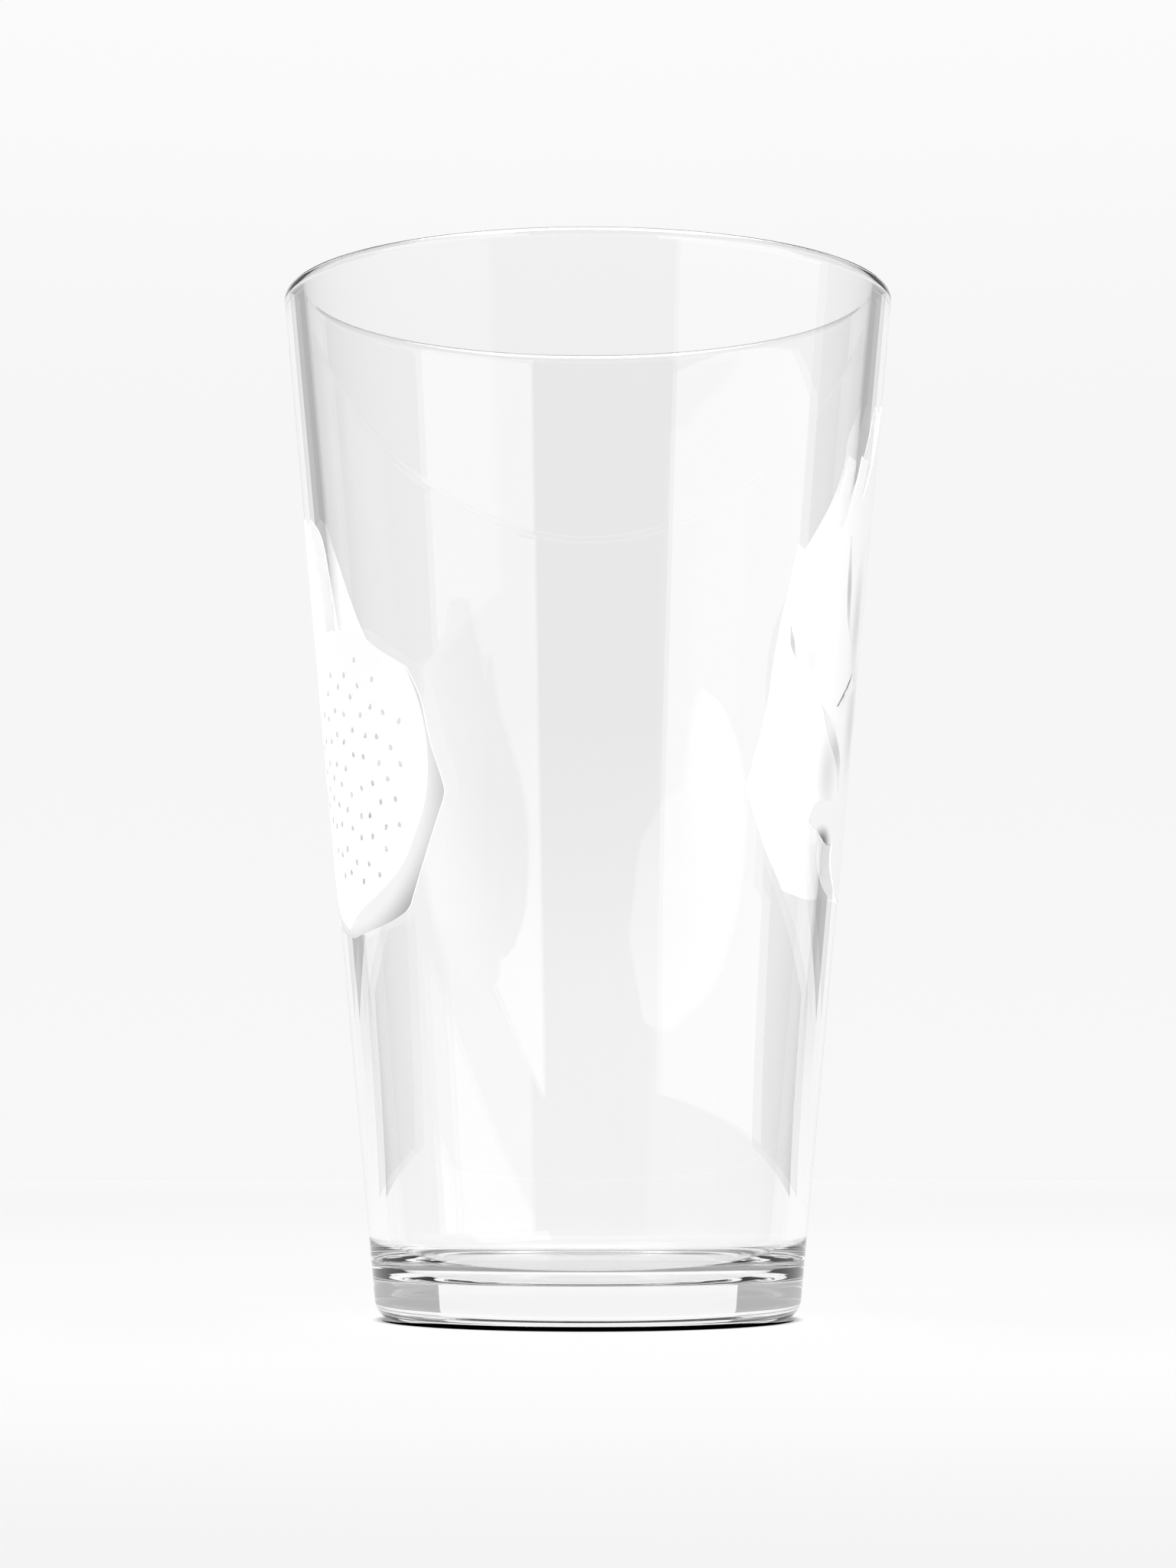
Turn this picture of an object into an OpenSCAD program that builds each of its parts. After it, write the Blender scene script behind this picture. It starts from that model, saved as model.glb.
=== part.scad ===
// Straight-sided tapered drinking glass with a thick floor, pressed in one piece,
// and two fired fruit decorations laid in thin ink films on opposite sides of its wall.
// Millimetres, +Z up, origin at the centre of the base on the resting plane.
// Decoration places are [angle, height]: degrees to the right of the middle of that side,
// as seen from outside the glass, and millimetres above the base.

/* [Glass] */
// Overall height
glass_h = 148.5; // [140:0.5:160]
// Diameter of the outer wall line at the rim
rim_d = 88.9; // [84:0.1:94]
// Diameter of the outer wall line at the base
base_d = 60.4; // [58:0.1:66]
// Wall thickness, square to the wall
wall_t = 2.9; // [2.4:0.1:3.4]
// Glass between the resting plane and the inside floor
floor_t = 6; // [4:0.1:12]
// Radius of the outer edge between wall and base
heel_r = 3; // [2:0.1:4]
// Radius of the inside corner between wall and floor
fillet_r = 6.4; // [2:0.1:8]

/* [Underside] */
// Radius of the shallow hollow in the base
punt_r = 24; // [18:0.5:24.5]
// Depth of that hollow at its centre
punt_depth = 1; // [0.6:0.1:2]

/* [Print] */
// Thickness of the white ink base coat
base_coat_t = 0.1; // [0.08:0.01:0.2]
// Thickness of each ink coat laid over it
top_coat_t = 0.06; // [0.05:0.01:0.12]
// Radius of one seed
seed_r = 0.34; // [0.25:0.01:0.45]
// Number of places in the spiral of seeds
seed_places = 66; // [40:1:90]

/* [Hidden] */

// a circle with more than 12 sides is taken as a true circle
$fn = 96;
// an outline's curves are drawn with this many straight steps between two points
curve_steps = 4;

lip_r = wall_t / 2;
taper = (rim_d - base_d) / 2 / glass_h;
slope = atan(taper);
// the turn of a sunflower's seeds
spiral_step = 137.508;
// how far a cutting shape passes the surface that it cuts
clear = 2;
// a prism this long always reaches out through the wall
reach = rim_d;

glass_colour = [0.86, 0.92, 0.94, 0.35];
white_ink = [0.98, 0.98, 0.98];
rind_ink = [0.82, 0.82, 0.83];
seed_ink = [0.55, 0.55, 0.56];
fold_ink = [0.88, 0.88, 0.89];
stalk_ink = [0.7, 0.7, 0.71];

// radius of the outer wall at height z
function wall_r(z) = base_d / 2 + taper * z;
// centre of a circle of radius r whose lowest point is at height z, tangent to a wall line
// that lies an amount in from the outer wall
function corner(z, r, in) = [wall_r(z + r) - (in + r) / cos(slope), z + r];
// where such a circle touches its wall line
function touch(c, r) = c + r * [cos(slope), -sin(slope)];

// a place on the wall seen square on from the side
function seen(p) = [wall_r(p[1]) * sin(p[0]), p[1]];
// Catmull-Rom blend of four neighbouring points
function blend(a, b, c, d, t) =
    b + t / 2 * ((c - a) + t * ((2 * a - 5 * b + 4 * c - d) + t * (3 * b - a - 3 * c + d)));
// one smooth run through a list of places; runs meet in sharp tips
function run(p) = [
    for (i = [0:len(p) - 2], s = [0:curve_steps - 1])
        blend(p[max(i - 1, 0)], p[i], p[i + 1], p[min(i + 2, len(p) - 1)], s / curve_steps)
];
function outline(runs) = [for (r = runs, p = run(r)) seen(p)];

// ---- left side: a halved fruit in front of a leafy one ----
flesh_edge = [
    [[24, 97], [34, 96.2], [42, 93.2], [50, 90.4]],
    [[50, 90.4], [53, 85.5], [54.6, 79.5], [53.8, 73], [50.5, 68], [45, 63], [37, 59.8], [26, 57], [20, 55]],
    [[20, 55], [10, 58], [3, 64], [-1, 72], [-1, 80], [3, 88], [11, 94], [24, 97]]
];
rind_edge = [
    [[50, 90.4], [53.4, 86], [55.2, 80.2], [58.2, 74], [58, 72]],
    [[58, 72], [52.7, 64.8], [47.2, 57.8]],
    [[47.2, 57.8], [44.5, 56.6], [37, 55.2], [22, 53.8]],
    [[22, 53.8], [12, 55.4], [4, 59.5], [0, 64], [3, 64]],
    [[3, 64], [10, 58], [20, 55]],
    [[20, 55], [26, 57], [37, 59.8], [45, 63], [50.5, 68], [53.8, 73], [54.6, 79.5], [53, 85.5], [50, 90.4]]
];
left_edge = [
    [[50, 90.4], [53.4, 86], [55.2, 80.2], [58.2, 74], [58, 72]],
    [[58, 72], [52.7, 64.8], [47.2, 57.8]],
    [[47.2, 57.8], [44.5, 56.6], [37, 55.2], [22, 53.8]],
    [[22, 53.8], [12, 55.4], [0, 57], [-14, 60], [-26, 66], [-33, 74], [-35, 84], [-32, 92], [-26, 98.5]],
    [[-26, 98.5], [-16, 105], [-7, 110], [8, 114.5]],
    [[8, 114.5], [15, 111], [18, 104], [20, 97]],
    [[20, 97], [24, 97], [34, 96.2], [42, 93.2], [50, 90.4]]
];
seed_centre = [28, 76.5];
seed_half_w = 21;
seed_half_h = 16;

// ---- right side: a whole fruit with pointed scales ----
right_edge = [
    [[-22, 122], [-18, 121.6]],
    [[-18, 121.6], [-20.5, 115.4]],
    [[-20.5, 115.4], [-14, 122], [-8, 131]],
    [[-8, 131], [7, 129], [10.5, 124.5], [15.5, 121], [24, 117], [30.5, 113.8]],
    [[30.5, 113.8], [33.5, 115]],
    [[33.5, 115], [35.5, 109.5], [38, 104], [40, 97], [41.5, 90], [47, 78.5]],
    [[47, 78.5], [43, 73.5], [37.5, 68], [29, 62]],
    [[29, 62], [15, 60.4], [0, 59.6], [-13, 60.4], [-20, 64], [-20.5, 68]],
    [[-20.5, 68], [-24, 66.8], [-30, 68.6]],
    [[-30, 68.6], [-40, 74], [-45, 82], [-46, 92], [-42, 100], [-34, 107], [-27, 113], [-22, 122]]
];
long_fold = [
    [[-24.5, 110.5], [-22.6, 104], [-21.4, 99], [-18.5, 95.5]],
    [[-18.5, 95.5], [-22.6, 98.6], [-24.4, 104], [-24.5, 110.5]]
];
short_fold = [
    [[-45, 96.2], [-43.6, 94], [-42.8, 91.8]],
    [[-42.8, 91.8], [-44.6, 93.6], [-45, 96.2]]
];
deep_fold = [
    [[-32, 86], [-26, 83.4], [-20, 79], [-19.6, 74.6]],
    [[-19.6, 74.6], [-22, 78], [-28, 82], [-32, 86]]
];
crossing_fold = [
    [[-16, 91.5], [-20, 88.4], [-25, 86.2]],
    [[-25, 86.2], [-19, 87.6], [-14, 89.6], [-16, 91.5]]
];
stalk_edge = [
    [[-34, 69.6], [-31, 72.4], [-22, 72.8], [-12.5, 71.4]],
    [[-12.5, 71.4], [-16, 68.8], [-20.5, 68]],
    [[-20.5, 68], [-24, 66.8], [-30, 68.6], [-34, 69.6]]
];

module glass_profile() {
    heel = corner(0, heel_r, 0);
    lip = corner(glass_h - 2 * lip_r, lip_r, 0);
    fillet = corner(floor_t, fillet_r, wall_t);
    lip_in = 2 * lip - touch(lip, lip_r);
    circle_at(heel, heel_r);
    circle_at(lip, lip_r);
    difference() {
        polygon([[0, 0], [heel[0], 0], touch(heel, heel_r), touch(lip, lip_r), lip_in, [0, lip_in[1]]]);
        circle_at(fillet, fillet_r);
        polygon([
            [-clear, floor_t], [fillet[0], floor_t], touch(fillet, fillet_r),
            lip_in, lip_in + [0, clear], [-clear, lip_in[1] + clear]
        ]);
    }
}

module circle_at(c, r) {
    translate(c) circle(r);
}

module glass_body() {
    // the hollow is a shallow cap of a large ball
    ball_r = (punt_r * punt_r + punt_depth * punt_depth) / (2 * punt_depth);
    color(glass_colour) difference() {
        rotate_extrude() glass_profile();
        translate([0, 0, punt_depth - ball_r]) sphere(ball_r);
    }
}

// a layer of ink between two distances out from the wall, cut to the outlines given as children;
// turned 0 degrees it lies on the +X side, and 180 degrees on the -X side
module ink(turn, inner, outer, low, high) {
    rotate([0, 0, turn]) intersection() {
        rotate_extrude() polygon([
            [wall_r(low) + inner, low], [wall_r(low) + outer, low],
            [wall_r(high) + outer, high], [wall_r(high) + inner, high]
        ]);
        rotate([90, 0, 90]) linear_extrude(reach) children();
    }
}

left_turn = 180;
right_turn = 0;
second_coat = base_coat_t + top_coat_t;
third_coat = second_coat + top_coat_t;
// the heights between which the decorations lie
print_low = 50;
print_high = 135;

module coat(turn, inner, outer) {
    ink(turn, inner, outer, print_low, print_high) children();
}

module left_print_base() {
    color(white_ink) coat(left_turn, 0, base_coat_t) polygon(outline(left_edge));
}

module left_print_rind() {
    color(rind_ink) coat(left_turn, base_coat_t, second_coat) polygon(outline(rind_edge));
}

module left_print_flesh() {
    color(white_ink) coat(left_turn, base_coat_t, second_coat) polygon(outline(flesh_edge));
}

module left_print_seeds() {
    color(seed_ink) coat(left_turn, second_coat, third_coat)
        for (i = [1:seed_places]) {
            away = sqrt(i / seed_places);
            place = seed_centre + away * [
                seed_half_w * cos(i * spiral_step),
                seed_half_h * sin(i * spiral_step)
            ];
            circle_at(seen(place), seed_r);
        }
}

module right_print_base() {
    color(white_ink) coat(right_turn, 0, base_coat_t) polygon(outline(right_edge));
}

module right_print_folds() {
    color(fold_ink) coat(right_turn, base_coat_t, second_coat)
        for (fold = [long_fold, short_fold, deep_fold, crossing_fold])
            polygon(outline(fold));
}

module right_print_stalk() {
    color(stalk_ink) coat(right_turn, base_coat_t, second_coat) polygon(outline(stalk_edge));
}

glass_body();
left_print_base();
left_print_rind();
left_print_flesh();
left_print_seeds();
right_print_base();
right_print_folds();
right_print_stalk();
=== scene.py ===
import math
import random

import bmesh
import bpy
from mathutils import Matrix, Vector


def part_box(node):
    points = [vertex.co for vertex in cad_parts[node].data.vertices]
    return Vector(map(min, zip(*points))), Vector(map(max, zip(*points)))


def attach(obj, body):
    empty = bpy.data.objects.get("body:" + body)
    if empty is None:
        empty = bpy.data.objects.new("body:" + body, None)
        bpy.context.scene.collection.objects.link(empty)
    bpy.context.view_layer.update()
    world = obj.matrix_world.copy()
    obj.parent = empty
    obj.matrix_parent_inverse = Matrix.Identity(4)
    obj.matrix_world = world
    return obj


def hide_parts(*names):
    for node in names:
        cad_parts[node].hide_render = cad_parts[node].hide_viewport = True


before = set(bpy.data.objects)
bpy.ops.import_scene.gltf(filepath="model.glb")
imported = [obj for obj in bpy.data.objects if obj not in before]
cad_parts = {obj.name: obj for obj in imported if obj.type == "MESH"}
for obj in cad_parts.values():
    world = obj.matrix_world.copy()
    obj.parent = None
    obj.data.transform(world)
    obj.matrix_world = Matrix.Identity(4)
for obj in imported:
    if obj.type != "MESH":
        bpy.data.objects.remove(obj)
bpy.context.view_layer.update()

GLASS_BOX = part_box("glass_body")

bl_info = {
    "name": "Printed pint glass",
    "version": (1, 0, 0),
    "blender": (4, 5, 0),
    "location": "View3D > Sidebar > Pint glass",
    "description": "Builds a tapered drinking glass, its two printed fruits and a studio",
    "category": "Object",
}

MM = 0.001
BODY = "root"


# ---------------------------------------------------------------- settings


def length_prop(name, description, millimetres):
    """A length, given in millimetres and kept in metres."""
    return bpy.props.FloatProperty(
        name=name, description=description, default=millimetres * MM,
        min=0, precision=5, unit="LENGTH", subtype="DISTANCE",
    )


def colour_prop(name, description, colour):
    return bpy.props.FloatVectorProperty(
        name=name, description=description, default=colour, size=3, min=0, max=1, subtype="COLOR",
    )


def number_prop(name, description, default):
    return bpy.props.FloatProperty(name=name, description=description, default=default, min=0)


def angle_prop(name, description, degrees):
    return bpy.props.FloatProperty(
        name=name, description=description, default=math.radians(degrees), subtype="ANGLE", unit="ROTATION",
    )


class GlassSettings(bpy.types.PropertyGroup):
    """Sizes and finish of the pressed glass."""

    height: bpy.props.FloatProperty(
        name="Height", description="Height from the resting plane to the top of the lip",
        default=round(GLASS_BOX[1].z, 4), unit="LENGTH", subtype="DISTANCE",
    )
    rim_d: length_prop("Rim diameter", "Diameter of the outer wall line at the rim", 88.9)
    base_d: length_prop("Base diameter", "Diameter of the outer wall line at the base", 60.4)
    wall_t: length_prop("Wall", "Wall thickness, square to the wall", 2.9)
    floor_t: length_prop("Floor", "Glass between the resting plane and the inside floor", 6)
    heel_r: length_prop("Heel radius", "Radius of the outer edge between wall and base", 3)
    fillet_r: length_prop("Fillet radius", "Radius of the inside corner between wall and floor", 6.4)
    punt_r: length_prop("Hollow radius", "Radius of the shallow hollow in the base", 24)
    punt_depth: length_prop("Hollow depth", "Depth of that hollow at its centre", 1)
    tint: colour_prop("Tint", "Colour of the glass", (1, 1, 1))
    ior: number_prop("IOR", "Index of refraction of the glass", 1.5)


class PrintSettings(bpy.types.PropertyGroup):
    """Thickness and colours of the fired inks."""

    base_coat_t: length_prop("Base coat", "Thickness of the white ink base coat", 0.1)
    top_coat_t: length_prop("Top coat", "Thickness of each ink coat laid over it", 0.06)
    white: colour_prop("White", "White enamel ink", (0.94, 0.94, 0.94))
    rind_dark: colour_prop("Rind, dark", "Grey at the outer edge of the rind", (0.34, 0.34, 0.345))
    rind_light: colour_prop("Rind, light", "Grey at the inner edge of the rind", (0.84, 0.84, 0.84))
    seed: colour_prop("Seeds, dark", "Grey of the darkest seeds", (0.42, 0.42, 0.425))
    seed_light: colour_prop("Seeds, light", "Grey of the palest seeds", (0.75, 0.75, 0.75))
    fold: colour_prop("Folds, dark", "Grey in the depth of a fold", (0.48, 0.48, 0.485))
    fold_light: colour_prop("Folds, light", "Grey at the ends of a fold", (0.78, 0.78, 0.78))
    body: colour_prop("Body", "Ink on the lit side of the whole fruit", (0.80, 0.80, 0.80))
    shade: colour_prop("Shade", "Grey where the fruit turns away", (0.36, 0.36, 0.365))
    stalk_light: colour_prop("Stalk, light", "Grey of the top of the stalk", (0.80, 0.80, 0.80))
    stalk: colour_prop("Stalk, dark", "Grey at the foot of the stalk", (0.12, 0.12, 0.125))


class StudioSettings(bpy.types.PropertyGroup):
    """The camera, the floor and the lights."""

    camera_away: length_prop("Camera distance", "From the glass's axis to the lens", 528.6)
    camera_up: length_prop("Camera height", "Lens height above the floor", 30.4)
    camera_pitch: angle_prop("Camera pitch", "Tilt of the lens above level", 5.015)
    lens: number_prop("Focal length", "Focal length in millimetres on a 36 mm long side", 84.08)
    floor: colour_prop("Floor", "Colour of the floor", (0.2, 0.2, 0.2))
    room: number_prop("Room light", "Light from the dark ceiling", 0.1)


# ---------------------------------------------------------------- shader maths


class Value:
    """A shader socket that takes part in Python arithmetic."""

    def __init__(self, paint, socket):
        self.paint = paint
        self.socket = socket

    def _math(self, operation, a, b=None):
        inputs = {0: a} if b is None else {0: a, 1: b}
        return self.paint.node("ShaderNodeMath", {"operation": operation}, inputs)

    def __add__(self, other):
        return self._math("ADD", self, other)

    __radd__ = __add__

    def __sub__(self, other):
        return self._math("SUBTRACT", self, other)

    def __rsub__(self, other):
        return self._math("SUBTRACT", other, self)

    def __mul__(self, other):
        return self._math("MULTIPLY", self, other)

    __rmul__ = __mul__

    def __truediv__(self, other):
        return self._math("DIVIDE", self, other)


class Paint:
    """A new node material, built node by node."""

    def __init__(self, name):
        self.material = bpy.data.materials.new(name)
        self.material.use_nodes = True
        self.tree = self.material.node_tree
        self.tree.nodes.clear()

    def node(self, kind, settings=None, inputs=None, output=0):
        """Adds a node, sets it up, feeds its sockets, and returns one of its outputs."""
        made = self.tree.nodes.new(kind)
        for key, value in (settings or {}).items():
            setattr(made, key, value)
        for key, value in (inputs or {}).items():
            if isinstance(value, Value):
                self.tree.links.new(value.socket, made.inputs[key])
            else:
                made.inputs[key].default_value = value
        return Value(self, made.outputs[output])

    def mix(self, share, first, second):
        """A colour between two others."""
        return self.node(
            "ShaderNodeMix", {"data_type": "RGBA"},
            {0: share, 6: first, 7: second}, output=2,
        )

    def ramp(self, value, low, high):
        """Value's place between low and high, smoothly, from 0 to 1."""
        return self.node(
            "ShaderNodeMapRange", {"interpolation_type": "SMOOTHSTEP"},
            {"Value": value, "From Min": low, "From Max": high},
        )

    def bump(self, height, strength, depth):
        """A normal roughened by that height."""
        return self.node("ShaderNodeBump", {}, {"Height": height, "Strength": strength, "Distance": depth})

    def surface(self, shader):
        """Ends the material with that shader."""
        out = self.tree.nodes.new("ShaderNodeOutputMaterial")
        self.tree.links.new(shader.socket, out.inputs["Surface"])
        return self.material

    def principled(self, inputs):
        return self.surface(self.node("ShaderNodeBsdfPrincipled", {}, inputs))


def rgba(colour):
    return (*colour, 1.0)


# ---------------------------------------------------------------- shape helpers


def wall_slope(s):
    """Widening of the wall's radius for each unit of height."""
    return (s.rim_d - s.base_d) / 2 / s.height


def wall_r(s, z):
    """Radius of the outer wall line at height z."""
    return s.base_d / 2 + wall_slope(s) * z


def corner(s, low, radius, inset):
    """Centre of a circle whose lowest point is at height low, tangent to a line inset from the outer wall."""
    lean = math.atan(wall_slope(s))
    z = low + radius
    return wall_r(s, z) - (inset + radius) / math.cos(lean), z


def arc(centre, radius, start, end, steps):
    """Points on an arc, in degrees, both ends included."""
    turns = (math.radians(start + (end - start) * i / steps) for i in range(steps + 1))
    return [(centre[0] + radius * math.cos(t), centre[1] + radius * math.sin(t)) for t in turns]


def straight(a, b, steps, hold=0.2 * MM):
    """Points between a and b, with one close to each end, so that shading stays true along the run."""
    (ax, ay), (bx, by) = a, b
    share = hold / math.hypot(bx - ax, by - ay)
    shares = [share, *((i + 1) / (steps + 1) for i in range(steps)), 1 - share]
    return [(ax + (bx - ax) * t, ay + (by - ay) * t) for t in shares]


def glass_profile(s):
    """The glass's half section, from the middle of the underside round to the middle of the inside floor."""
    lean = math.degrees(math.atan(wall_slope(s)))
    heel = corner(s, 0, s.heel_r, 0)
    lip_r = s.wall_t / 2
    lip = corner(s, s.height - 2 * lip_r, lip_r, 0)
    fillet = corner(s, s.floor_t, s.fillet_r, s.wall_t)
    ball_r = (s.punt_r ** 2 + s.punt_depth ** 2) / (2 * s.punt_depth)
    reach = math.degrees(math.asin(s.punt_r / ball_r))
    hollow = arc((0, s.punt_depth - ball_r), ball_r, 90, 90 - reach, 24)
    heel_arc = arc(heel, s.heel_r, -90, -lean, 20)
    lip_arc = arc(lip, lip_r, -lean, 180 - lean, 40)
    fillet_arc = arc(fillet, s.fillet_r, -lean, -90, 20)
    middle = (0, s.floor_t)
    return [
        *hollow,
        *straight(hollow[-1], heel_arc[0], 2),
        *heel_arc,
        *straight(heel_arc[-1], lip_arc[0], 40),
        *lip_arc,
        *straight(lip_arc[-1], fillet_arc[0], 40),
        *fillet_arc,
        *straight(fillet_arc[-1], middle, 6),
        middle,
    ]


def lathe(name, profile, around):
    """Turns a profile that starts and ends on the axis into one closed mesh."""
    mesh = bpy.data.meshes.new(name)
    bm = bmesh.new()
    rings = []
    for r, z in profile:
        if r < 1e-7:
            rings.append([bm.verts.new((0, 0, z))])
        else:
            turns = (2 * math.pi * i / around for i in range(around))
            rings.append([bm.verts.new((r * math.cos(t), r * math.sin(t), z)) for t in turns])
    for below, above in zip(rings, rings[1:]):
        for i in range(around):
            j = (i + 1) % around
            quad = [ring[k % len(ring)] for ring, k in ((below, i), (below, j), (above, j), (above, i))]
            bm.faces.new(dict.fromkeys(quad))
    bmesh.ops.recalc_face_normals(bm, faces=bm.faces)
    for face in bm.faces:
        face.smooth = True
    bm.to_mesh(mesh)
    bm.free()
    return place(name, mesh)


def place(name, mesh):
    made = bpy.data.objects.new(name, mesh)
    bpy.context.scene.collection.objects.link(made)
    return made


def run(points, steps):
    """A smooth run through places on the wall, the last left out; runs meet in sharp tips."""
    made = []
    for i in range(len(points) - 1):
        a, b = Vector(points[max(i - 1, 0)]), Vector(points[i])
        c, d = Vector(points[i + 1]), Vector(points[min(i + 2, len(points) - 1)])
        for k in range(steps):
            t = k / steps
            bend = (2 * a - 5 * b + 4 * c - d) + t * (3 * b - a - 3 * c + d)
            made.append(b + t / 2 * ((c - a) + t * bend))
    return made


def outline(runs, steps=8):
    return [p for points in runs for p in run(points, steps)]


def film_cells(points, pitch):
    """A flat face with that outline, cut into narrow upright strips, as places and cells."""
    bm = bmesh.new()
    bm.faces.new([bm.verts.new((p[0], p[1], 0)) for p in points])
    bmesh.ops.triangulate(bm, faces=bm.faces, ngon_method="EAR_CLIP")
    low = min(p[0] for p in points)
    high = max(p[0] for p in points)
    for i in range(math.floor(low / pitch), math.ceil(high / pitch) + 1):
        everything = [*bm.verts, *bm.edges, *bm.faces]
        bmesh.ops.bisect_plane(bm, geom=everything, dist=1e-6, plane_co=(i * pitch, 0, 0), plane_no=(1, 0, 0))
    if sum(f.normal.z for f in bm.faces) < 0:
        bmesh.ops.reverse_faces(bm, faces=bm.faces)
    bm.verts.index_update()
    places = [(v.co.x, v.co.y) for v in bm.verts]
    cells = [[v.index for v in f.verts] for f in bm.faces]
    bm.free()
    return places, cells


def film(name, outlines, glass, side, inner, outer, pitch=1.5):
    """Thin closed films on the outside of the wall, between two distances out from it.
    Places are degrees to the right of the side's middle and millimetres above the base."""
    mesh = bpy.data.meshes.new(name)
    bm = bmesh.new()
    for points in outlines:
        places, cells = film_cells(points, pitch)
        layers = []
        for out in (inner, outer):
            layer = []
            for angle, height in places:
                turn = side + math.radians(angle)
                r = wall_r(glass, height * MM) + out
                layer.append(bm.verts.new((r * math.cos(turn), r * math.sin(turn), height * MM)))
            layers.append(layer)
        under, over = layers
        edges = {}
        for cell in cells:
            bm.faces.new([over[i] for i in cell]).smooth = True
            bm.faces.new([under[i] for i in reversed(cell)]).smooth = True
            for a, b in zip(cell, cell[1:] + cell[:1]):
                edges[(a, b)] = True
        for a, b in edges:
            if (b, a) not in edges:
                bm.faces.new([over[b], over[a], under[a], under[b]])
    for edge in bm.edges:
        if any(not f.smooth for f in edge.link_faces):
            edge.smooth = False
    bm.to_mesh(mesh)
    bm.free()
    return place(name, mesh)


def settle(piece, node, material):
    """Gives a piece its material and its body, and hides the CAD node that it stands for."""
    piece.data.materials.clear()
    piece.data.materials.append(material)
    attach(piece, BODY)
    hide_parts(node)


# ---------------------------------------------------------------- materials


WAVE_SCALE = 30.0
WAVE_STRENGTH = 0.02
WAVE_DEPTH = 0.2 * MM
GRAIN_SCALE = 900.0
GRAIN_STRENGTH = 0.05
GRAIN_DEPTH = 0.1 * MM
INK_ROUGH = 0.45
INK_ROUGH_SPREAD = 0.1
INK_IOR = 1.5
MOTTLE_SCALE = 1500.0


def clear_glass(s):
    """Polished soda-lime glass with the faint waviness of a pressed wall."""
    paint = Paint("clear_glass")
    place_on = paint.node("ShaderNodeTexCoord", output="Object")
    waves = paint.node("ShaderNodeTexNoise", {}, {"Vector": place_on, "Scale": WAVE_SCALE, "Detail": 1.0})
    bump = paint.bump(waves, WAVE_STRENGTH, WAVE_DEPTH)
    return paint.principled({
        "Base Color": rgba(s.tint),
        "Roughness": 0.0,
        "IOR": s.ior,
        "Transmission Weight": 1.0,
        "Normal": bump,
    })


def ink(name, colour):
    """The start of an ink: its grain, and the inputs of its shader."""
    paint = Paint(name)
    place_on = paint.node("ShaderNodeTexCoord", output="Object")
    grain = paint.node("ShaderNodeTexNoise", {}, {"Vector": place_on, "Scale": GRAIN_SCALE, "Detail": 2.0})
    rough = grain * INK_ROUGH_SPREAD + INK_ROUGH
    bump = paint.bump(grain, GRAIN_STRENGTH, GRAIN_DEPTH)
    return paint, {"Base Color": rgba(colour), "Roughness": rough, "IOR": INK_IOR, "Normal": bump}


def plain_ink(name, colour):
    """Ink of one tone."""
    paint, inputs = ink(name, colour)
    return paint.principled(inputs)


class Wall:
    """Places on one side of the glass: degrees to the right of its middle, and millimetres up."""

    def __init__(self, paint, side):
        self.paint = paint
        where = paint.node("ShaderNodeTexCoord", output="Object")
        x, y, z = (paint.node("ShaderNodeSeparateXYZ", {}, {0: where}, output=axis) for axis in range(3))
        facing = math.cos(side)
        turn = paint.node("ShaderNodeMath", {"operation": "ARCTAN2"}, {0: y * facing, 1: x * facing})
        self.angle = turn * math.degrees(1)
        self.height = z / MM

    def away(self, centre, reach):
        """Distance from a place, with 1 at its reach along each axis."""
        across = (self.angle - centre[0]) / reach[0]
        up = (self.height - centre[1]) / reach[1]
        return self.paint.node("ShaderNodeMath", {"operation": "SQRT"}, {0: across * across + up * up})

    def shade(self, spots):
        """1 on plain ink, and less inside each soft spot of shade."""
        light = 1.0
        for centre, reach, depth in spots:
            light = light * (1 - depth * self.paint.ramp(self.away(centre, reach), 1.0, 0.0))
        return light


def shaded_ink(name, side, pale, dark, share_of):
    """Ink whose tone runs from pale to dark."""
    paint, inputs = ink(name, pale)
    inputs["Base Color"] = paint.mix(share_of(Wall(paint, side)), rgba(pale), rgba(dark))
    return paint.principled(inputs)


# ---------------------------------------------------------------- decorations

FLESH_EDGE = [
    [(24, 97), (34, 96.2), (42, 93.2), (50, 90.4)],
    [(50, 90.4), (53, 85.5), (54.6, 79.5), (53.8, 73), (50.5, 68), (45, 63), (37, 59.8), (26, 57), (20, 55)],
    [(20, 55), (10, 58), (3, 64), (-1, 72), (-1, 80), (3, 88), (11, 94), (24, 97)],
]
RIND_EDGE = [
    [(50, 90.4), (53.4, 86), (55.2, 80.2), (58.2, 74), (58, 72)],
    [(58, 72), (52.7, 64.8), (47.2, 57.8)],
    [(47.2, 57.8), (44.5, 56.6), (37, 55.2), (22, 53.8)],
    [(22, 53.8), (12, 55.4), (4, 59.5), (0, 64), (3, 64)],
    [(3, 64), (10, 58), (20, 55)],
    [(20, 55), (26, 57), (37, 59.8), (45, 63), (50.5, 68), (53.8, 73), (54.6, 79.5), (53, 85.5), (50, 90.4)],
]
LEFT_EDGE = [
    [(50, 90.4), (53.4, 86), (55.2, 80.2), (58.2, 74), (58, 72)],
    [(58, 72), (52.7, 64.8), (47.2, 57.8)],
    [(47.2, 57.8), (44.5, 56.6), (37, 55.2), (22, 53.8)],
    [(22, 53.8), (12, 55.4), (0, 57), (-14, 60), (-26, 66), (-33, 74), (-35, 84), (-32, 92), (-26, 98.5)],
    [(-26, 98.5), (-16, 105), (-7, 110), (8, 114.5)],
    [(8, 114.5), (15, 111), (18, 104), (20, 97)],
    [(20, 97), (24, 97), (34, 96.2), (42, 93.2), (50, 90.4)],
]
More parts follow.
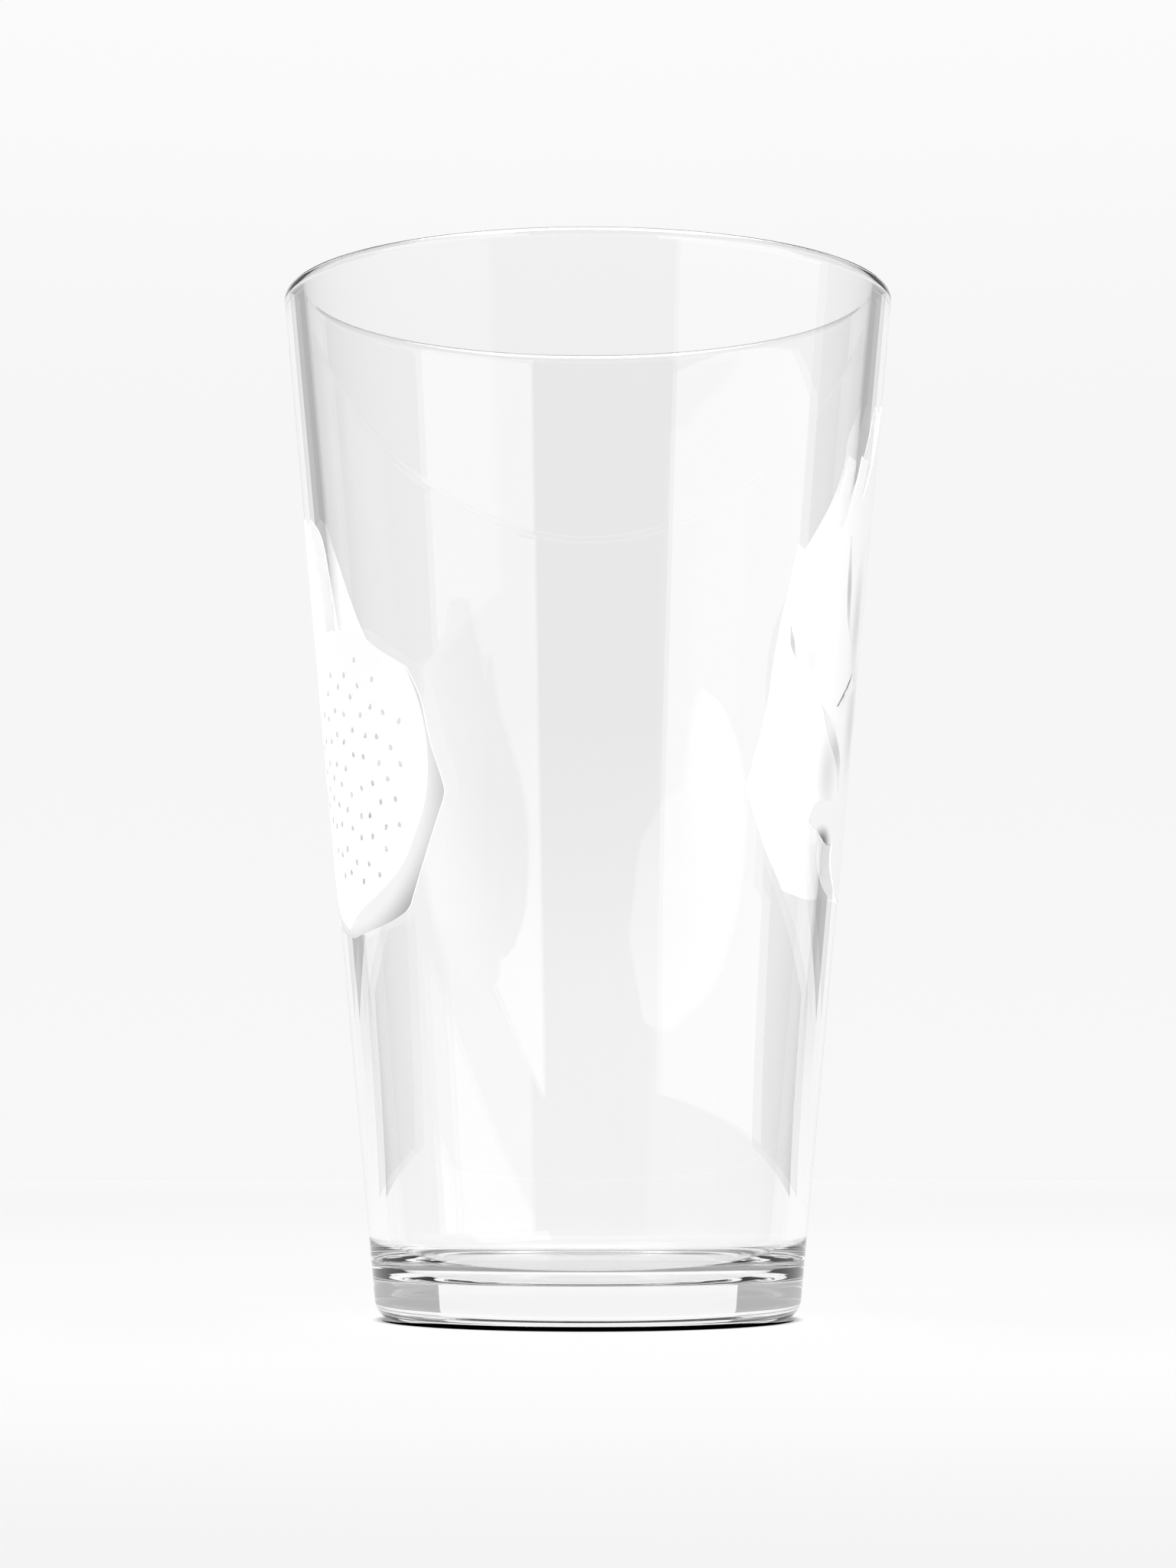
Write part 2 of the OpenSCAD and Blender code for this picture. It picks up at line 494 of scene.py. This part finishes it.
RIGHT_EDGE = [
    [(-22, 122), (-18, 121.6)],
    [(-18, 121.6), (-20.5, 115.4)],
    [(-20.5, 115.4), (-14, 122), (-8, 131)],
    [(-8, 131), (7, 129), (10.5, 124.5), (15.5, 121), (24, 117), (30.5, 113.8)],
    [(30.5, 113.8), (33.5, 115)],
    [(33.5, 115), (35.5, 109.5), (38, 104), (40, 97), (41.5, 90), (47, 78.5)],
    [(47, 78.5), (43, 73.5), (37.5, 68), (29, 62)],
    [(29, 62), (15, 60.4), (0, 59.6), (-13, 60.4), (-20, 64), (-20.5, 68)],
    [(-20.5, 68), (-24, 66.8), (-30, 68.6)],
    [(-30, 68.6), (-40, 74), (-45, 82), (-46, 92), (-42, 100), (-34, 107), (-27, 113), (-22, 122)],
]
LONG_FOLD = [
    [(-24.5, 110.5), (-22.6, 104), (-21.4, 99), (-18.5, 95.5)],
    [(-18.5, 95.5), (-22.6, 98.6), (-24.4, 104), (-24.5, 110.5)],
]
SHORT_FOLD = [
    [(-45, 96.2), (-43.6, 94), (-42.8, 91.8)],
    [(-42.8, 91.8), (-44.6, 93.6), (-45, 96.2)],
]
DEEP_FOLD = [
    [(-32, 86), (-26, 83.4), (-20, 79), (-19.6, 74.6)],
    [(-19.6, 74.6), (-22, 78), (-28, 82), (-32, 86)],
]
CROSSING_FOLD = [
    [(-16, 91.5), (-20, 88.4), (-25, 86.2)],
    [(-25, 86.2), (-19, 87.6), (-14, 89.6), (-16, 91.5)],
]
STALK_EDGE = [
    [(-34, 69.6), (-31, 72.4), (-22, 72.8), (-12.5, 71.4)],
    [(-12.5, 71.4), (-16, 68.8), (-20.5, 68)],
    [(-20.5, 68), (-24, 66.8), (-30, 68.6), (-34, 69.6)],
]
FRUIT_MIDDLE = (24, 76)
FRUIT_REACH = (30, 21)
RIND_RUN = (0.95, 1.22)
RIND_FOOT = (70, 58)
RIND_TOP_SHARE = 0.6
SEEDS_DARK_AT = (30, 70)
SEEDS_DARK_REACH = (30, 30)
BODY_SPOTS = (
    ((-16, 99), (5, 12), 0.4), ((-13, 85), (7, 11), 0.4), ((-27, 77), (7, 8), 0.4),
    ((30, 64), (26, 6), 0.3), ((-38, 92), (7, 6), 0.25),
)
FOLD_SPOTS = (((-23, 103), (5, 8), 0.9), ((-23, 80), (7, 5), 0.8), ((-44, 94), (2, 3), 0.6))
STALK_FOOT = (-27, 67)
STALK_FOOT_REACH = (6, 3)
SEED_CENTRE = Vector((28, 76.5))
SEED_REACH = Vector((21, 16))
SEED_PLACES = 66
SEED_SCATTER = (0.5, 0.4)
SEED_LEAN = 0.5
SEED_HALF_W = 0.42
SEED_HALF_H = 0.4
SEED_TAPER = 0.35
SEED_POINTS = 12
SEED_DRAWS = 7
SUNFLOWER_TURN = math.radians(137.508)
LEFT = math.pi
RIGHT = 0.0
SINK = -0.02 * MM


def seed_outlines():
    """Small teardrops laid out as a sunflower lays its seeds, with a little scatter."""
    chance = random.Random(SEED_DRAWS)
    made = []
    for i in range(1, SEED_PLACES + 1):
        away = math.sqrt(i / SEED_PLACES)
        turn = i * SUNFLOWER_TURN
        middle = SEED_CENTRE + away * Vector((SEED_REACH.x * math.cos(turn), SEED_REACH.y * math.sin(turn)))
        middle += Vector([chance.uniform(-reach, reach) for reach in SEED_SCATTER])
        lean = chance.uniform(-SEED_LEAN, SEED_LEAN)
        drop = []
        for k in range(SEED_POINTS):
            t = 2 * math.pi * k / SEED_POINTS
            x = SEED_HALF_W * math.cos(t) * (1 - SEED_TAPER * math.sin(t))
            y = SEED_HALF_H * math.sin(t)
            drop.append((middle.x + x + lean * y, middle.y + y))
        made.append(drop)
    return made


def rind_share(wall):
    """Darker outwards, and most of all towards the foot."""
    out = wall.paint.ramp(wall.away(FRUIT_MIDDLE, FRUIT_REACH), *RIND_RUN)
    return out * (RIND_TOP_SHARE + (1 - RIND_TOP_SHARE) * wall.paint.ramp(wall.height, *RIND_FOOT))


def seed_share(wall):
    """Darkest in the middle of the fruit, and mottled."""
    where = wall.paint.node("ShaderNodeTexCoord", output="Object")
    noise = {"Vector": where, "Scale": MOTTLE_SCALE, "Detail": 1.0}
    mottle = wall.paint.node("ShaderNodeTexNoise", {}, noise)
    near = wall.paint.ramp(wall.away(SEEDS_DARK_AT, SEEDS_DARK_REACH), 1.0, 0.1)
    return near * wall.paint.ramp(mottle, 0.3, 0.7)


def body_share(wall):
    """Shade where the fruit turns away."""
    return 1 - wall.shade(BODY_SPOTS)


def fold_share(wall):
    """Dark in the middle of each fold."""
    return 1 - wall.shade(FOLD_SPOTS)


def stalk_share(wall):
    """Dark at the foot."""
    return wall.paint.ramp(wall.away(STALK_FOOT, STALK_FOOT_REACH), 1.0, 0.1)


# ---------------------------------------------------------------- stage


# Azimuth is from the camera's side towards +X, in degrees. A sheet whose azimuths rise gives off
# its light towards the glass, and one whose azimuths fall gives it off outwards.
DROP = 0.05 * MM
INNER_BOUNCES = 9
SENSOR = 36
NEAR_CLIP = 0.01
PANEL_STEPS = 24
FLOOR_HALF = 3
CONTACT_R = 29.5 * MM
CONTACT_H = 0.55 * MM
# black strips round the heel that paint its contact shadow: name, azimuths, heights of the top at its two
# ends
CONTACT_SHADOW_STRIPS = (
    ("contact_shadow_middle", (42, -42), (CONTACT_H, CONTACT_H)),
    ("contact_shadow_left", (-42, -82), (CONTACT_H, 0)),
    ("contact_shadow_right", (82, 42), (0, CONTACT_H)),
)
BACKDROP = (1.0, (150.5, 209.5), (0, 0), (0.53, 0.53))
# name, radius, azimuths, heights of the foot at its two ends, heights of the top, strength
PANELS = (
    ("front_flag", 1.0, (-36, 33), (0, 0), (0.8, 0.8), 0.15),
    ("right_low_panel", 0.8, (33, 84), (0, 0), (0.142, 0.187), 1.7),
    ("right_side_panel", 2.0, (84, 99), (0, 0), (0.273, 0.273), 1.7),
    ("right_upper_panel", 2.0, (84, 99), (0.273, 0.273), (0.4, 0.4), 1.0),
    ("right_mid_panel", 0.8, (33, 84), (0.142, 0.187), (0.2, 0.246), 1.0),
    ("right_high_panel", 0.8, (25, 80), (0.19, 0.251), (0.6, 0.6), 1.7),
    ("surroundings", 2.5, (0, 360), (0, 0), (1.1, 1.1), 0.45),
)
CARD_UP = 0.5 * MM
# name, azimuths, nearest and farthest distance from the axis, strength
CARDS = (
    ("right_card", (33, 90), (0.205, 0.8), 1.7),
    ("right_grey_card", (90, 128), (0.2, 1.0), 0.3),
    ("left_grey_card", (-128, -90), (0.2, 1.0), 0.3),
)
OVERHEAD_HALF = 0.4
OVERHEAD_UP = 0.9
OVERHEAD_BACK = 0.1
OVERHEAD_STRENGTH = 4.0
FLOOR_ROUGH = 0.9
FLOOR_LIGHT = 0.757
# painted light in the floor's glow, a pool round the glass and falloff towards the camera: change of the
# floor's light, and the two Y between which it comes in
FLOOR_CHANGES = (
    (0.023, 0.03, -0.04), (-0.055, -0.11, -0.30), (-0.45, -0.28, -0.60), (-0.25, -0.5, -1.2),
    (0.02, 0.35, 0.95),
)
# painted shadow under the glass: the same by distance from the axis, where the glass stands
SHADOW_UNDER_GLASS = (-0.2, 0.0262, 0.0252)
# painted contact shadow: a dark ring in the floor's glow round the glass's heel
HEEL_SHADE = 0.92
HEEL_SHADE_FROM = (0.0266, 0.0276)
HEEL_SHADE_TO = (0.0312, 0.0288)
BACKDROP_LIGHT = 0.935
# change of the backdrop's light, and the two heights between which it comes in
BACKDROP_CHANGES = ((-0.012, 0.03, 0.2), (0.035, 0.3, 0.5))
SUN_SPREAD = 30
SUN_TILT = 15
REVERSE_TILT = 5
# azimuth, elevation and strength of each sun
LEFT_SUNS = tuple((azimuth, SUN_TILT, 1.05) for azimuth in (-150, -90, -30))
RIGHT_SUNS = tuple((azimuth, SUN_TILT, 0.25) for azimuth in (30, 90, 150))
LEFT_REVERSE_SUNS = ((20, REVERSE_TILT, 2.6), (110, REVERSE_TILT, 1.2))
RIGHT_REVERSE_SUNS = ((-20, REVERSE_TILT, 3.2), (-110, REVERSE_TILT, 1.2))
# A piece is in one group only, so that its lights come out the same in every render.
LIGHT_GROUPS = (
    (("left_flesh", "left_rind", "left_seeds"), LEFT_SUNS),
    (("left_base_coat",), LEFT_SUNS + LEFT_REVERSE_SUNS),
    (("right_folds", "right_stalk"), RIGHT_SUNS),
    (("right_base_coat",), RIGHT_SUNS + RIGHT_REVERSE_SUNS),
)


def set_up(name, mesh, material, seen=False):
    """Puts a part of the stage in the scene. Parts that aren't seen directly still show in the glass."""
    made = place(name, mesh)
    mesh.materials.append(material)
    made.visible_camera = seen
    made.visible_shadow = False
    return made


def flat_sheet(name, corners, material, seen=False):
    """One flat face."""
    mesh = bpy.data.meshes.new(name)
    bm = bmesh.new()
    bm.faces.new([bm.verts.new(c) for c in corners])
    bm.to_mesh(mesh)
    bm.free()
    return set_up(name, mesh, material, seen)


def ribbon(name, azimuths, edges_at, material, seen=False):
    """A sheet that curves round the glass.
    edges_at gives the radius and height of its two edges along the way."""
    mesh = bpy.data.meshes.new(name)
    bm = bmesh.new()
    columns = []
    for i in range(PANEL_STEPS + 1):
        share = i / PANEL_STEPS
        turn = math.radians(azimuths[0] + (azimuths[1] - azimuths[0]) * share)
        x, y = math.sin(turn), -math.cos(turn)
        columns.append([bm.verts.new((r * x, r * y, z)) for r, z in edges_at(share)])
    for a, b in zip(columns, columns[1:]):
        bm.faces.new([a[0], a[1], b[1], b[0]])
    bm.to_mesh(mesh)
    bm.free()
    return set_up(name, mesh, material, seen)


def curved_panel(name, radius, azimuths, lows, highs, material, seen=False):
    """A standing ribbon. Its lower and upper edges run straight between their two heights."""

    def edges_at(share):
        return [(radius, start + (end - start) * share) for start, end in (lows, highs)]

    return ribbon(name, azimuths, edges_at, material, seen)


def floor_card(name, azimuths, reach, material):
    """A ribbon that lies on the floor beside the glass."""
    return ribbon(name, azimuths, lambda share: [(r, CARD_UP) for r in reach], material)


def glow(name, strength):
    """Light from the side that faces the glass; the other side lets everything through."""
    paint = Paint(name)
    away = paint.node("ShaderNodeNewGeometry", output="Backfacing")
    light = paint.node("ShaderNodeEmission", {}, {"Strength": strength})
    clear = paint.node("ShaderNodeBsdfTransparent")
    return paint.surface(paint.node("ShaderNodeMixShader", {}, {0: away, 1: light, 2: clear}))


def changed(paint, light, place_on, changes):
    """A level of light with changes that come in along the way."""
    for change, start, end in changes:
        light = light + change * paint.ramp(place_on, start, end)
    return light


def grey(paint, light):
    """A colour with that level in all three channels."""
    return paint.node("ShaderNodeCombineColor", {}, {0: light, 1: light, 2: light})


def painted_light_floor(s):
    """A pale self-lit table whose glow is painted light: brightest round the glass, darker towards the
    camera, with a painted shadow where the glass stands.
    """
    paint = Paint("pale_floor")
    place_on = paint.node("ShaderNodeTexCoord", output="Object")
    y = paint.node("ShaderNodeSeparateXYZ", {}, {0: place_on}, output=1)
    away = paint.node("ShaderNodeVectorMath", {"operation": "LENGTH"}, {0: place_on}, output=1)
    # painted shadow: the floor's glow is dimmed under the glass and in a dark ring round its heel
    light = changed(paint, changed(paint, FLOOR_LIGHT, y, FLOOR_CHANGES), away, (SHADOW_UNDER_GLASS,))
    light = light * (1 - HEEL_SHADE * paint.ramp(away, *HEEL_SHADE_FROM) * paint.ramp(away, *HEEL_SHADE_TO))
    return paint.principled({
        "Base Color": rgba(s.floor), "Roughness": FLOOR_ROUGH, "Specular IOR Level": 0.0,
        "Emission Color": grey(paint, light), "Emission Strength": 1.0,
    })


def lit_backdrop():
    """Even light, a little brighter at the top."""
    paint = Paint("backdrop")
    place_on = paint.node("ShaderNodeTexCoord", output="Object")
    z = paint.node("ShaderNodeSeparateXYZ", {}, {0: place_on}, output=2)
    light = changed(paint, BACKDROP_LIGHT, z, BACKDROP_CHANGES)
    return paint.surface(paint.node("ShaderNodeEmission", {}, {"Color": grey(paint, light)}))


def fill_sun(name, azimuth, elevation, strength, lit):
    """Soft light that falls on some pieces alone."""
    lamp = bpy.data.lights.new(name, "SUN")
    lamp.energy = strength
    lamp.angle = math.radians(SUN_SPREAD)
    sun = place(name, lamp)
    sun.rotation_euler = (math.radians(90 - elevation), 0, math.radians(azimuth))
    sun.visible_glossy = False
    sun.visible_transmission = False
    sun.light_linking.receiver_collection = lit


def light_prints():
    """Gives each group of pieces its own suns."""
    for names, suns in LIGHT_GROUPS:
        lit = bpy.data.collections.new("lit")
        for name in names:
            lit.objects.link(bpy.data.objects[name])
        for azimuth, elevation, strength in suns:
            fill_sun(f"fill_{azimuth}", azimuth, elevation, strength, lit)


def add_camera(s):
    """The lens on the side of -Y, tilted up a little."""
    scene = bpy.context.scene
    camera = bpy.data.objects.new("camera", bpy.data.cameras.new("camera"))
    scene.collection.objects.link(camera)
    camera.location = (0, -s.camera_away, s.camera_up)
    camera.rotation_euler = (math.pi / 2 + s.camera_pitch, 0, 0)
    camera.data.lens = s.lens
    camera.data.sensor_width = SENSOR
    camera.data.clip_start = NEAR_CLIP
    scene.camera = camera


def square(half, back, up):
    """Corners of a level square."""
    near, far = back - half, back + half
    return ((-half, near, up), (-half, far, up), (half, far, up), (half, near, up))


def build_stage(s):
    """The room's faint light, the camera, the floor, the backdrop and the lit panels round the glass."""
    scene = bpy.context.scene
    scene.view_settings.view_transform = "Standard"
    scene.cycles.glossy_bounces = INNER_BOUNCES
    world = bpy.data.worlds.new("room")
    world.use_nodes = True
    world.node_tree.nodes["Background"].inputs["Color"].default_value = (s.room, s.room, s.room, 1)
    scene.world = world
    add_camera(s)

    flat_sheet("floor", square(FLOOR_HALF, 0, -DROP)[::-1], painted_light_floor(s), seen=True)
    curved_panel("backdrop", *BACKDROP, lit_backdrop(), seen=True)
    # Black strips round the heel, with no light of their own: a painted contact shadow, dark sheets where
    # there is only shade.
    for name, azimuths, highs in CONTACT_SHADOW_STRIPS:
        curved_panel(name, CONTACT_R, azimuths, (-DROP, -DROP), highs, glow(name, 0.0), seen=True)
    for name, radius, azimuths, lows, highs, strength in PANELS:
        curved_panel(name, radius, azimuths, lows, highs, glow(name, strength))
    for name, azimuths, reach, strength in CARDS:
        floor_card(name, azimuths, reach, glow(name, strength))
    overhead = square(OVERHEAD_HALF, OVERHEAD_BACK, OVERHEAD_UP)
    panel = flat_sheet("overhead_panel", overhead, glow("overhead_panel", OVERHEAD_STRENGTH))
    panel.visible_transmission = False


# ---------------------------------------------------------------- operators


class PINTGLASS_OT_glass_body(bpy.types.Operator):
    """Build the pressed glass"""

    bl_idname = "pint_glass.glass_body"
    bl_label = "Glass body"

    def execute(self, context):
        s = context.scene.pint_glass
        glass = lathe("glass", glass_profile(s), 360)
        settle(glass, "glass_body", clear_glass(s))
        glass.visible_shadow = False
        return {"FINISHED"}


class PINTGLASS_OT_left_print(bpy.types.Operator):
    """Print the halved fruit on the left side"""

    bl_idname = "pint_glass.left_print"
    bl_label = "Left print"

    def execute(self, context):
        s, p = context.scene.pint_glass, context.scene.pint_print
        first, second = p.base_coat_t, p.base_coat_t + p.top_coat_t
        white = plain_ink("white_ink", p.white)
        settle(film("left_base_coat", [outline(LEFT_EDGE)], s, LEFT, SINK, first),
               "left_print_base", white)
        settle(film("left_flesh", [outline(FLESH_EDGE)], s, LEFT, first, second),
               "left_print_flesh", white)
        settle(film("left_rind", [outline(RIND_EDGE)], s, LEFT, first, second),
               "left_print_rind",
               shaded_ink("rind_ink", LEFT, p.rind_light, p.rind_dark, rind_share))
        settle(film("left_seeds", seed_outlines(), s, LEFT, second, second + p.top_coat_t),
               "left_print_seeds",
               shaded_ink("seed_ink", LEFT, p.seed_light, p.seed, seed_share))
        return {"FINISHED"}


class PINTGLASS_OT_right_print(bpy.types.Operator):
    """Print the scaled fruit on the right side"""

    bl_idname = "pint_glass.right_print"
    bl_label = "Right print"

    def execute(self, context):
        s, p = context.scene.pint_glass, context.scene.pint_print
        first, second = p.base_coat_t, p.base_coat_t + p.top_coat_t
        settle(film("right_base_coat", [outline(RIGHT_EDGE)], s, RIGHT, SINK, first),
               "right_print_base",
               shaded_ink("shaded_white_ink", RIGHT, p.body, p.shade, body_share))
        folds = [outline(f) for f in (LONG_FOLD, SHORT_FOLD, DEEP_FOLD, CROSSING_FOLD)]
        settle(film("right_folds", folds, s, RIGHT, first, second),
               "right_print_folds",
               shaded_ink("fold_ink", RIGHT, p.fold_light, p.fold, fold_share))
        settle(film("right_stalk", [outline(STALK_EDGE)], s, RIGHT, first, second),
               "right_print_stalk",
               shaded_ink("stalk_ink", RIGHT, p.stalk_light, p.stalk, stalk_share))
        return {"FINISHED"}


class PINTGLASS_OT_stage(bpy.types.Operator):
    """Set up the camera, the floor and the lights"""

    bl_idname = "pint_glass.stage"
    bl_label = "Studio"

    def execute(self, context):
        build_stage(context.scene.pint_studio)
        return {"FINISHED"}


class PINTGLASS_PT_sidebar(bpy.types.Panel):
    """Lists the pieces and the studio"""

    bl_idname = "PINTGLASS_PT_sidebar"
    bl_label = "Pint glass"
    bl_space_type = "VIEW_3D"
    bl_region_type = "UI"
    bl_category = "Pint glass"

    def draw(self, context):
        for made in OPERATORS:
            self.layout.operator(made.bl_idname)
        for group in (context.scene.pint_glass, context.scene.pint_print, context.scene.pint_studio):
            box = self.layout.box()
            for key in group.__annotations__:
                box.prop(group, key)


SETTINGS = {"pint_glass": GlassSettings, "pint_print": PrintSettings, "pint_studio": StudioSettings}
OPERATORS = (
    PINTGLASS_OT_stage, PINTGLASS_OT_glass_body, PINTGLASS_OT_left_print, PINTGLASS_OT_right_print,
)


def register():
    for made in (*SETTINGS.values(), *OPERATORS, PINTGLASS_PT_sidebar):
        bpy.utils.register_class(made)
    for name, group in SETTINGS.items():
        setattr(bpy.types.Scene, name, bpy.props.PointerProperty(type=group))


def unregister():
    for name in SETTINGS:
        delattr(bpy.types.Scene, name)
    for made in (PINTGLASS_PT_sidebar, *OPERATORS, *SETTINGS.values()):
        bpy.utils.unregister_class(made)


def main():
    register()
    bpy.ops.pint_glass.stage()
    bpy.ops.pint_glass.glass_body()
    bpy.ops.pint_glass.left_print()
    bpy.ops.pint_glass.right_print()
    light_prints()


if __name__ == "__main__":
    main()
